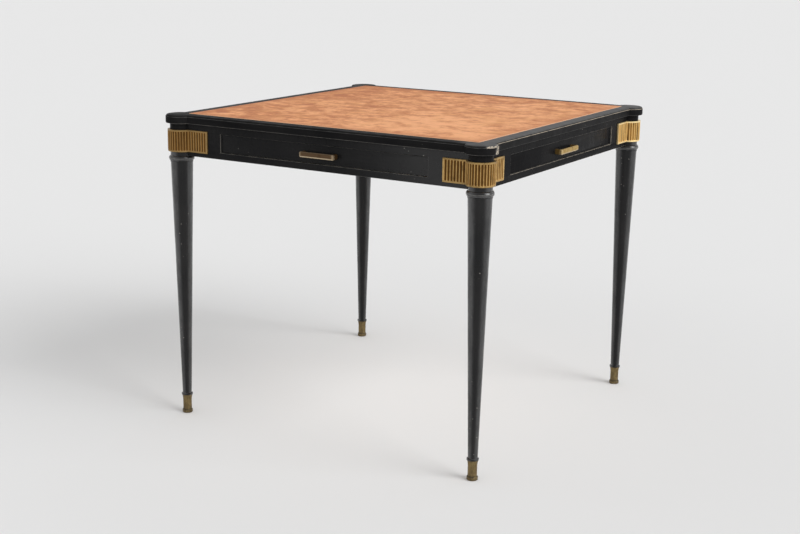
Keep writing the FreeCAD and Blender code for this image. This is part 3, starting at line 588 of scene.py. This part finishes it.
# Corner mounts: brass cast in one piece round the post, with a flat plate over each apron and hollow
# flutes inside a plain rim. Studs and nuts behind the plates hold them. Patina fills the hollows. The
# gilding is painted lighter toward the back right, where the lamp falls, and darker toward the front
# left, as painted light and shade; the back right also has painted highlights on its rims and thinner
# patina, and there patina has run down the flutes.
mount_low, mount_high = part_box("mount_front_left")
MOUNT_RADIUS = -LEG_AXIS - mount_low.x
PLATE_REACH = mount_high.x + LEG_AXIS
PLATE_FACE = 0.011
PLATE_THICKNESS = 0.0035
CASTING_WALL = 0.0054
FLUTE_RIM = 0.0035
FLUTES_ROUND = 19
FLUTES_PLATE = 7
FLUTE_WIDTH = 0.0055
FLUTE_DEPTH = 0.0018
RIM_EASE = 0.0005
HOLLOW_STEPS = (-1.0, -0.9, -0.66, -0.34, 0.0, 0.34, 0.66, 0.9, 1.0)
END_STEPS = (0.0, 0.1, 0.34, 0.66, 1.0)
END_LENGTH = 0.0024
BACK_STEPS = 36
GILT_DULL_SHADED = (0.30, 0.185, 0.070, 1)
GILT_PAINTED_LIT = (0.74, 0.49, 0.185, 1)
GILT_PAINTED_HIGHLIGHT = (0.85, 0.575, 0.225, 1)
GILT_WORN = (0.25, 0.160, 0.060, 1)
GILT_DEEP = (0.22, 0.098, 0.014, 1)
GILT_DEEP_PAINTED_LIT = (0.47, 0.25, 0.062, 1)
GILT_RIM_HIGHLIGHT = (0.98, 0.80, 0.44, 1)
RIM_PAINTED_HIGHLIGHT = 0.55
LESS_PATINA_WHERE_LIT = 0.5
PATINA_PATCHES = 0.4
PATINA_SPECKS = 0.14
PATINA_RUNS = 0.65
RUNS_ON_RIDGES = 0.25

mount_gilt, shader, place = new_finish("gilt_on_mounts")
hollow = place.attribute("hollow")
rim = place.attribute("ending").rise(0.97, 1.0)
# Painted light and shade: the gilding is lighter toward the back right, where the lamp falls.
lamp_side_painted_light = (place.axis("X") + place.axis("Y")).rise(-1.0, 1.0)
painted_highlight = lamp_side_painted_light.rise(0.5, 1.0)
patches = place.cloud(70.0, detail=6.0, roughness=0.65)
specks = place.cloud(420.0, detail=3.0)
runs = place.stretched(1.0, 1.0, 0.06).cloud(170.0, detail=2.0, roughness=0.5).rise(0.46, 0.60)
wear_and_painted_light = (patches.rise(0.42, 0.7) * 0.7 + rim * 0.5).least(1.0) * (1 - painted_highlight * LESS_PATINA_WHERE_LIT)
gilding = painted_highlight.mix(lamp_side_painted_light.mix(GILT_DULL_SHADED, GILT_PAINTED_LIT), GILT_PAINTED_HIGHLIGHT)
deep = painted_highlight.mix(GILT_DEEP, GILT_DEEP_PAINTED_LIT)
colour = hollow.rise(0.0, 0.5).mix(wear_and_painted_light.mix(gilding, GILT_WORN), deep)
# Painted highlight on the rims at the back right.
colour = (rim * painted_highlight * RIM_PAINTED_HIGHLIGHT).mix(colour, GILT_RIM_HIGHLIGHT)
stains = patches.rise(0.55, 0.85) * PATINA_PATCHES + specks.rise(0.66, 0.8) * PATINA_SPECKS
# Patina, painted thinner where the mount is painted lit.
patina_and_painted_light = (hollow.rise(0.35, 1.0) * (0.45 + patches * 0.7) + stains).least(1.0) * (1 - painted_highlight * LESS_PATINA_WHERE_LIT)
runs = runs * (RUNS_ON_RIDGES + hollow.rise(0.0, 0.45) * (1 - RUNS_ON_RIDGES)) * (1 - rim)
patina_and_painted_light = patina_and_painted_light + runs * painted_highlight * PATINA_RUNS
feed(shader, {
    "Base Color": patina_and_painted_light.mix(colour, PATINA_AND_PAINTED_SHADE),
    "Metallic": 0.65 - patina_and_painted_light * 0.25,
    "Specular IOR Level": 0.2,
    "Roughness": 0.30 + patches * 0.14 + patina_and_painted_light * 0.2,
    "Normal": (patches * 0.7 + specks * 0.3).bumped(BRASS_BUMP, 0.5),
})

flute_sizes = {"Flute width": FLUTE_WIDTH, "Flute depth": FLUTE_DEPTH}
flute_tree, given = new_rule("flutes", flute_sizes)
skin = given["Geometry"]
across = skin.node("GeometryNodeInputNamedAttribute", {"data_type": "FLOAT"}, {"Name": "across"})
ending = skin.node("GeometryNodeInputNamedAttribute", {"data_type": "FLOAT"}, {"Name": "ending"})
outward = skin.node("GeometryNodeInputNamedAttribute", {"data_type": "FLOAT_VECTOR"}, {"Name": "outward"})
half_width = given["Flute width"] * 0.5
sweep = (half_width ** 2.0 + given["Flute depth"] ** 2.0) / (given["Flute depth"] * 2.0)
beside = across * half_width
scoop = (sweep ** 2.0 - beside ** 2.0) ** 0.5 - (sweep - given["Flute depth"])
depth = (scoop * (1.0 - ending ** 2.0).top(0.0) ** 0.5).top(0.0)
inward = skin.node("ShaderNodeVectorMath", {"operation": "SCALE"}, {0: outward, "Scale": depth * -1.0})
cast = skin.node("GeometryNodeSetPosition", {}, {"Geometry": skin, "Offset": inward})
cast = skin.node("GeometryNodeStoreNamedAttribute", {"data_type": "FLOAT", "domain": "POINT"},
                 {"Geometry": cast, "Name": "hollow", "Value": depth / given["Flute depth"]})
end_rule(cast, mount_gilt)


def mount_columns():
    """The mount's face in plan about the leg's axis: (x, y, outward, across), where across runs from -1 to
    1 over a flute and is 1 on the plain parts."""
    crease = math.sqrt(MOUNT_RADIUS ** 2 - PLATE_FACE ** 2)
    pitch = (PLATE_REACH - FLUTE_RIM - crease) / FLUTES_PLATE
    plate = [(PLATE_REACH, 1.0), (PLATE_REACH - RIM_EASE, 1.0)]
    for number in reversed(range(FLUTES_PLATE)):
        middle = crease + pitch * (number + 0.5)
        plate += [(middle - step * FLUTE_WIDTH / 2, step) for step in HOLLOW_STEPS]
    first = [(x, -PLATE_FACE, Vector((0, -1, 0)), step) for x, step in plate]
    last = [(-PLATE_FACE, y, Vector((-1, 0, 0)), step) for y, step in reversed(plate)]
    last = [(x, y, normal, -step if abs(step) < 1 else step) for x, y, normal, step in last]
    start = math.atan2(-PLATE_FACE, crease)
    finish = math.atan2(crease, -PLATE_FACE) - 2 * math.pi
    between = (finish - start) / FLUTES_ROUND
    curve = [(start, 1.0)]
    for number in range(FLUTES_ROUND):
        middle = start + between * (number + 0.5)
        curve += [(middle - step * FLUTE_WIDTH / 2 / MOUNT_RADIUS, step) for step in HOLLOW_STEPS]
    curve.append((finish, 1.0))
    middle = []
    for angle, step in curve:
        normal = Vector((math.cos(angle), math.sin(angle), 0))
        middle.append((MOUNT_RADIUS * normal.x, MOUNT_RADIUS * normal.y, normal, step))
    return first + middle + last


def mount_back():
    """The plan of the mount's back, from the end of the last plate to the start of the first."""
    bore = MOUNT_RADIUS - CASTING_WALL
    back = PLATE_FACE - PLATE_THICKNESS
    meet = math.sqrt(bore ** 2 - back ** 2)
    start = math.atan2(meet, -back)
    finish = math.atan2(-back, meet) + 2 * math.pi
    arc = [start + (finish - start) * step / BACK_STEPS for step in range(BACK_STEPS + 1)]
    curve = [(bore * math.cos(angle), bore * math.sin(angle)) for angle in arc]
    return [(-back, PLATE_REACH), *curve, (PLATE_REACH, -back)]


def mount_rows():
    """The mount's face in height: (z, ending, inset), where ending is 1 on the rims and 0 along a flute."""
    bottom = mount_low.z + FLUTE_RIM
    top = mount_high.z - FLUTE_RIM
    rows = [(mount_low.z, 1.0, RIM_EASE), (mount_low.z + RIM_EASE, 1.0, 0.0)]
    rows += [(bottom + step * END_LENGTH, 1.0 - step, 0.0) for step in END_STEPS]
    rows += [(top - step * END_LENGTH, 1.0 - step, 0.0) for step in reversed(END_STEPS)]
    return rows + [(mount_high.z - RIM_EASE, 1.0, 0.0), (mount_high.z, 1.0, RIM_EASE)]


def mount_skin(corner):
    """A closed casting with a plain face, each point of it marked with its place on a flute."""
    shape = bmesh.new()
    across = shape.verts.layers.float.new("across")
    ending = shape.verts.layers.float.new("ending")
    outward = shape.verts.layers.float_vector.new("outward")
    columns = mount_columns()
    back = mount_back()
    rings = []
    for z, end, inset in mount_rows():
        ring = []
        for x, y, normal, step in columns:
            vert = shape.verts.new(Vector((x, y, z)) - normal * inset)
            vert[across] = step
            vert[ending] = end
            vert[outward] = normal
            ring.append(vert)
        rings.append(ring)
    for lower, upper in zip(rings, rings[1:]):
        for column in range(len(columns) - 1):
            shape.faces.new((lower[column + 1], lower[column], upper[column], upper[column + 1]))
    backs = [[shape.verts.new((x, y, ring[0].co.z)) for x, y in back] for ring in (rings[0], rings[-1])]
    for column in range(len(back) - 1):
        shape.faces.new((backs[0][column + 1], backs[0][column], backs[1][column], backs[1][column + 1]))
    for row, ends in ((rings[0], backs[0]), (rings[-1], backs[1])):
        shape.faces.new(row + ends)
    for edge, end in ((-1, 0), (0, -1)):
        shape.faces.new([ring[edge] for ring in rings] + [backs[1][end], backs[0][end]])
    for vert in backs[0] + backs[1]:
        vert[across] = 1
        vert[ending] = 1
    bmesh.ops.remove_doubles(shape, verts=shape.verts, dist=NEAR / 50)
    bmesh.ops.recalc_face_normals(shape, faces=shape.faces)
    bmesh.ops.translate(shape, verts=shape.verts, vec=(-LEG_AXIS, -LEG_AXIS, 0))
    turn = Matrix.Rotation(math.radians(90 * CORNERS.index(corner)), 4, "Z")
    bmesh.ops.transform(shape, matrix=turn, verts=shape.verts)
    for vert in shape.verts:
        vert[outward] = turn @ vert[outward]
    return shape


for corner in CORNERS:
    piece = finished(f"fluted_mount_{corner}", mount_skin(corner), mount_gilt, "table",
                     smooth=40, rule=flute_tree, sizes=flute_sizes)
    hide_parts(f"mount_{corner}")
painted(plain_steel, "mount_nuts")

# Top: a plain panel lies on the rails. A border is mitred round it and moulded, its corners turned to
# ears over the legs; screws up through the upper rails hold it. Sleeves have rubbed its arris, which is
# painted palest on the right, partly wear and partly a painted highlight from the lamp; there the top
# has kept its wax. Its lower ease is painted pale too, partly wear and partly painted highlight. Knocks
# have chipped the ear at the front right, and painted highlights lie on its rim and, with the chips, on
# its flank.
border_low, border_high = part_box("border_front")
EAR_RADIUS = -border_low.y - LEG_AXIS
EDGE_OVERHANG = 0.016
PANEL_EDGE = -border_high.y
EDGE_STEP = 0.001
EDGE_ROUND = 0.004
EDGE_EASE = 0.0015
ARRIS_EASE = 0.0004
EAR_STEPS = 20
UNDER_STEPS = 3
ARRIS_STEPS = 2
ROUND_STEPS = 6
# Pale arris lines on each side: partly wear, partly painted highlight, most on the right, facing the lamp.
SLEEVE_RUB_AND_HIGHLIGHT = {"front": 0.42, "right": 1.0, "back": 0.4, "left": 0.3}
UNDER_RUB_AND_HIGHLIGHT = {"front": 0.55, "right": 0.45, "back": 0.35, "left": 0.3}
STEP_RUB = 0.1
ROUND_RUB = 0.35
# The front right ear: a painted highlight on the rim's spot, chips and painted highlight on the flank's.
FLANK_CHIP_AND_HIGHLIGHT = (0.4365, -0.3950, border_high.z - 0.013)
FLANK_SPOT_REACH = 0.0125
FLANK_TALL = 0.5
RIM_HIGHLIGHT_SPOT = (0.4310, -0.4110, border_high.z - 0.0025)
RIM_HIGHLIGHT_REACH = 0.021
RIM_TALL = 8.0
CHIP_LEAST = 0.4
TOP_WAX = 0.42
TOP_WAX_START = 0.33
TOP_WAX_END = 0.39


def border_section(side):
    """The moulded edge from the underside to the top: (inset, z, wear_and_painted_light)."""
    shoulder = border_high.z - EDGE_ROUND
    section = []
    for step in range(UNDER_STEPS + 1):
        angle = math.radians(90 * step / UNDER_STEPS)
        inset = EDGE_EASE * (1 - math.sin(angle))
        rub_and_highlight = UNDER_RUB_AND_HIGHLIGHT[side] if 0 < step < UNDER_STEPS else 0.0
        section.append((inset, border_low.z + EDGE_EASE * (1 - math.cos(angle)), rub_and_highlight))
    section.append((0.0, shoulder - 3 * ARRIS_EASE, 0.0))
    for step in range(ARRIS_STEPS + 1):
        angle = math.radians(90 * step / ARRIS_STEPS)
        inset = ARRIS_EASE * (1 - math.cos(angle))
        section.append((inset, shoulder - ARRIS_EASE * (1 - math.sin(angle)), SLEEVE_RUB_AND_HIGHLIGHT[side]))
    section.append((EDGE_STEP * 0.9, shoulder, STEP_RUB * SLEEVE_RUB_AND_HIGHLIGHT[side]))
    for step in range(ROUND_STEPS + 1):
        angle = math.radians(90 * step / ROUND_STEPS)
        inset = EDGE_STEP + EDGE_ROUND * (1 - math.cos(angle))
        rub_and_highlight = ROUND_RUB * SLEEVE_RUB_AND_HIGHLIGHT[side] if 1 < step < ROUND_STEPS - 1 else 0.0
        section.append((inset, shoulder + EDGE_ROUND * math.sin(angle), rub_and_highlight))
    return section


def border_path(inset):
    """The edge's line in plan at an inset, along the front from one mitre to the other."""
    radius = EAR_RADIUS - inset
    meet = -math.asin((EDGE_OVERHANG - inset) / radius)
    mitre = math.radians(-135)
    ear = []
    for step in range(EAR_STEPS + 1):
        angle = mitre + (meet - mitre) * step / EAR_STEPS
        ear.append((-LEG_AXIS + radius * math.cos(angle), -LEG_AXIS + radius * math.sin(angle)))
    return ear + [(-x, y) for x, y in reversed(ear)]


def border_shape(side):
    """One side of the border, from mitre to mitre, as a closed moulding."""
    shape = bmesh.new()
    wear_and_painted_light = shape.verts.layers.float.new("wear_and_painted_light")
    rows = []
    for inset, z, rub_and_highlight in border_section(side):
        row = [shape.verts.new((x, y, z)) for x, y in border_path(inset)]
        for vert in row:
            vert[wear_and_painted_light] = rub_and_highlight
        rows.append(row)
    for lower, upper in zip(rows, rows[1:]):
        for column in range(len(lower) - 1):
            shape.faces.new((lower[column], lower[column + 1], upper[column + 1], upper[column]))
    low, high = [[shape.verts.new((x, -PANEL_EDGE, z)) for x in (PANEL_EDGE, -PANEL_EDGE)]
                 for z in (border_low.z, border_high.z)]
    shape.faces.new(list(reversed(rows[0])) + list(reversed(low)))
    shape.faces.new(rows[-1] + high)
    shape.faces.new((low[0], low[1], high[1], high[0]))
    for end, hand in ((-1, 0), (0, 1)):
        shape.faces.new([row[end] for row in rows] + [high[hand], low[hand]])
    bmesh.ops.recalc_face_normals(shape, faces=shape.faces)
    bmesh.ops.transform(shape, matrix=facing(side), verts=shape.verts)
    return shape


def soft_spot(place, middle, tall, reach):
    """A spot round a middle. It is drawn out in height where tall is below 1, and flattened above 1."""
    x, y, z = middle
    drawn = place.stretched(1, 1, tall)
    gap = place.node("ShaderNodeVectorMath", {"operation": "DISTANCE"}, {0: drawn, 1: (x, y, z * tall)}, 1)
    return gap.rise(reach, reach * 0.5)


def ear_chips_and_highlight(place):
    """The front right ear's spots: a painted highlight on the rim, chips and painted highlight on the flank.
    """
    flank = soft_spot(place, FLANK_CHIP_AND_HIGHLIGHT, FLANK_TALL, FLANK_SPOT_REACH)
    rim = soft_spot(place, RIM_HIGHLIGHT_SPOT, RIM_TALL, RIM_HIGHLIGHT_REACH)
    chipped = place.cloud(230.0, detail=5.0, roughness=0.7).rise(0.40, 0.60)
    return flank.top(rim) * (CHIP_LEAST + chipped * (1 - CHIP_LEAST))


def top_wax(place):
    """Wax on the border's upper face, toward the right."""
    upward = place.axis("Z").rise(border_high.z - EDGE_ROUND, border_high.z - EDGE_ROUND / 4)
    return upward * place.axis("X").rise(TOP_WAX_START, TOP_WAX_END) * TOP_WAX


painted(open_wood("bare_panel", (10, 170, 170), BARE_PALE, BARE_DARK, roughness=0.64), "top_panel")
painted(plain_steel, "top_screws")
border_along_x = black_lacquer("lacquer_on_border_along_x", GRAIN_ALONG_X, shine=0.03, roughness=0.46,
                               rubbed_and_highlit=ear_chips_and_highlight, wax=top_wax)
border_along_y = black_lacquer("lacquer_on_border_along_y", GRAIN_ALONG_Y, shine=0.05, roughness=0.46,
                               rubbed_and_highlit=ear_chips_and_highlight, wax=top_wax)
for side in SIDES:
    lacquer = border_along_x if side in ("front", "back") else border_along_y
    piece = finished(f"moulded_border_{side}", border_shape(side), lacquer, "table")
    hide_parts(f"border_{side}")

# Leather: one vegetable-tanned hide, cut square and glued to the panel inside the border, a hair
# proud of it, with its rim rolled down. Handling has mottled it, and it has kept its redder dye along
# the edges. It is painted lighter toward the right and the front, partly fading and partly painted
# light from the lamp, and its rim is painted pale, partly its cut edge and partly a painted highlight.
leather_low, leather_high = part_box("leather_panel")
LEATHER_ROWS = 96
LEATHER_ROLL = 0.0009
LEATHER_WAVE = 0.00025
WAVE_SCALE = 9
RIPPLE_SCALE = 31
TAN = (0.60, 0.246, 0.092, 1)
TAN_PALE = (0.82, 0.394, 0.188, 1)
TAN_YELLOW = (0.66, 0.305, 0.110, 1)
TERRACOTTA = (0.42, 0.135, 0.046, 1)
RIM_PALE_AND_HIGHLIGHT = (0.66, 0.42, 0.27, 1)
FADE_AND_LIGHT_RIGHT = 0.125
FADE_AND_SHADE_BACK = 0.055
LEATHER_STAIN = (0.36, 0.14, 0.065, 1)
LEATHER_BUMP = 0.00022
EDGE_DYED = 0.05
RIM_PALE_AND_HIGHLIGHT_START = 0.0024
RIM_PALE_AND_HIGHLIGHT_END = 0.0008

leather, shader, place = new_finish("mottled_tan_leather")
drift = place.cloud(4.5, detail=5.0, roughness=0.6, distortion=0.5)
blotches = place.stretched(1.0, 1.3, 1.0).cloud(22.0, detail=6.0, roughness=0.6, distortion=0.3)
flecks = place.cloud(75.0, detail=6.0, roughness=0.7)
yellowing = place.cloud(14.0, detail=5.0, roughness=0.65).rise(0.46, 0.68)
pebbles = place.cells(520.0, "SMOOTH_F1")
pores = place.cells(1500.0)
from_middle = abs(place.axis("X")).top(abs(place.axis("Y")))
edging = from_middle.rise(leather_high.x - EDGE_DYED, leather_high.x) * (0.35 + blotches * 0.9)
tone = drift * 0.25 + blotches * 0.47 + flecks * 0.28
# Painted light: lighter toward the right and the front, partly fading and partly the lamp's light.
tone = tone + place.axis("X") * FADE_AND_LIGHT_RIGHT - place.axis("Y") * FADE_AND_SHADE_BACK
colour = tone.rise(0.375, 0.555).mix(TERRACOTTA, TAN)
colour = tone.rise(0.45, 0.615).mix(colour, TAN_PALE)
colour = (yellowing * 0.45).mix(colour, TAN_YELLOW)
colour = (edging * 0.6).mix(colour, TERRACOTTA)
# Pale rim: partly the cut edge's colour, partly a painted highlight.
rim = from_middle.rise(leather_high.x - RIM_PALE_AND_HIGHLIGHT_START, leather_high.x - RIM_PALE_AND_HIGHLIGHT_END)
colour = (rim * (0.4 + flecks * 0.8)).least(1.0).mix(colour, RIM_PALE_AND_HIGHLIGHT)
stains = place.stretched(1.5, 1.0, 1.0).cloud(9.0, detail=7.0, roughness=0.7, distortion=1.4)
stains = stains.rise(0.61, 0.74)
feed(shader, {
    "Base Color": (stains * 0.4).mix(colour, LEATHER_STAIN),
    "Roughness": 0.52 + blotches * 0.16 - stains * 0.1,
    "Specular IOR Level": 0.12,
    "Normal": (pebbles * 0.6 + pores * 0.25 + flecks * 0.4).bumped(LEATHER_BUMP, 0.5),
})


def leather_place(row, column):
    """A point of the hide's upper face, which the glue has left in faint waves."""
    reach = leather_high.x
    x = -reach + 2 * reach * column / LEATHER_ROWS
    y = -reach + 2 * reach * row / LEATHER_ROWS
    ripple = noise.noise(Vector((x * RIPPLE_SCALE, y * RIPPLE_SCALE, 5)))
    wave = noise.noise(Vector((x * WAVE_SCALE, y * WAVE_SCALE, 0))) + 0.5 * ripple
    return Vector((x, y, leather_high.z - LEATHER_WAVE * max(0.0, 0.6 + 0.6 * wave)))


shape = bmesh.new()
upper = [[shape.verts.new(leather_place(row, column)) for column in range(LEATHER_ROWS + 1)]
         for row in range(LEATHER_ROWS + 1)]
for row in range(LEATHER_ROWS):
    for column in range(LEATHER_ROWS):
        shape.faces.new((upper[row][column], upper[row][column + 1], upper[row + 1][column + 1],
                         upper[row + 1][column]))
rim = [edge for edge in shape.edges if edge.is_boundary]
skirt = bmesh.ops.extrude_edge_only(shape, edges=rim)["geom"]
hem = [item for item in skirt if isinstance(item, bmesh.types.BMVert)]
for vert in hem:
    vert.co.z = leather_low.z
under = [edge for edge in shape.edges if edge.is_boundary]
bmesh.ops.contextual_create(shape, geom=under)
bmesh.ops.recalc_face_normals(shape, faces=shape.faces)
arrises = [edge for edge in shape.edges if edge.calc_face_angle(0) > ARRIS_ANGLE
           and min(vert.co.z for vert in edge.verts) > leather_low.z + NEAR]
bmesh.ops.bevel(shape, geom=arrises, offset=LEATHER_ROLL, segments=3, profile=0.5, affect="EDGES")
hide = finished("leather_sheet", shape, leather, "table")
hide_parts("leather_panel")

# Floor: a plain pale studio floor without an edge. It can be looked through from below, so that the
# underside of the table shows.
FLOOR_REACH = 60.0
FLOOR_DROP = 0.0004
FLOOR_PALE = 0.775
bpy.ops.mesh.primitive_plane_add(size=2 * FLOOR_REACH, location=(0, 0, -FLOOR_DROP))
floor = bpy.context.object
floor.name = "studio_floor"
floor_paint, shader, place = new_finish("studio_floor")
feed(shader, {
    "Base Color": (FLOOR_PALE, FLOOR_PALE, FLOOR_PALE, 1),
    "Roughness": 0.9,
    "Specular IOR Level": 0.0,
})
below = place.node("ShaderNodeNewGeometry", {}, {}, "Backfacing")
clear = place.node("ShaderNodeBsdfTransparent", {}, {})
solid = Socket(floor_paint.node_tree, shader.outputs[0])
seen = place.node("ShaderNodeMixShader", {}, {0: below, 1: solid, 2: clear})
floor_paint.node_tree.links.new(seen.output, floor_paint.node_tree.nodes["Material Output"].inputs[0])
floor.data.materials.append(floor_paint)

# Light: one wide soft box to the right, in a pale room that is lit by its walls more than its ceiling.
# Seen straight on or in a gloss, the room is even.
WALL_LIGHT = 1.25
CEILING_LIGHT = 0.12
WALL_TOP = 0.5
CEILING_START = 0.9
ROOM_SEEN = 0.775
SOFT_BOX_FROM = (0.8746, 0.0, 0.4848)
SOFT_BOX_LAMPS = {"soft_box": (2.13, 45), "lamp_in_box": (0.17, 14)}
world = bpy.data.worlds.new("studio_room")
bpy.context.scene.world = world
world.use_nodes = True
room = world.node_tree.nodes["Background"]
ray = world.node_tree.nodes.new("ShaderNodeLightPath")
seen = Socket(world.node_tree, ray.outputs["Is Camera Ray"])
for kind in ("Is Glossy Ray", "Is Transmission Ray"):
    seen = seen.top(Socket(world.node_tree, ray.outputs[kind]))
toward = Socket(world.node_tree, world.node_tree.nodes.new("ShaderNodeTexCoord").outputs["Object"])
walls = toward.axis("Z").rise(CEILING_START, WALL_TOP)
light = walls * (WALL_LIGHT - CEILING_LIGHT) + CEILING_LIGHT
strength = seen * ROOM_SEEN + (1 - seen) * light
world.node_tree.links.new(strength.output, room.inputs["Strength"])
room.inputs["Color"].default_value = (1, 1, 1, 1)
for name, (strength, spread) in SOFT_BOX_LAMPS.items():
    lamp = bpy.data.lights.new(name, "SUN")
    lamp.energy = strength
    lamp.angle = math.radians(spread)
    stand = bpy.data.objects.new(name, lamp)
    stand.rotation_euler = Vector(SOFT_BOX_FROM).to_track_quat("Z", "Y").to_euler()
    bpy.context.scene.collection.objects.link(stand)

# Camera: at the photograph's angle and distance, for a frame of 800 by 534. It looks a little down and
# leans a little.
VIEW_FROM = (1.7132, -2.9097, 1.1605)
VIEW_YAW = math.radians(-30.957)
VIEW_PITCH = math.radians(13.611)
VIEW_ROLL = math.radians(0.840)
LENS = 62.05
SENSOR_WIDTH = 36.0
camera_data = bpy.data.cameras.new("camera")
camera_data.lens = LENS
camera_data.sensor_width = SENSOR_WIDTH
camera = bpy.data.objects.new("camera", camera_data)
ahead = Vector((math.sin(VIEW_YAW) * math.cos(VIEW_PITCH), math.cos(VIEW_YAW) * math.cos(VIEW_PITCH),
                -math.sin(VIEW_PITCH)))
level = Vector((math.cos(VIEW_YAW), -math.sin(VIEW_YAW), 0))
upright = level.cross(ahead)
right = level * math.cos(VIEW_ROLL) + upright * math.sin(VIEW_ROLL)
above = upright * math.cos(VIEW_ROLL) - level * math.sin(VIEW_ROLL)
camera.matrix_world = Matrix((right, above, -ahead)).transposed().to_4x4()
camera.location = VIEW_FROM
bpy.context.scene.collection.objects.link(camera)
bpy.context.scene.camera = camera
bpy.context.scene.view_settings.view_transform = "Standard"
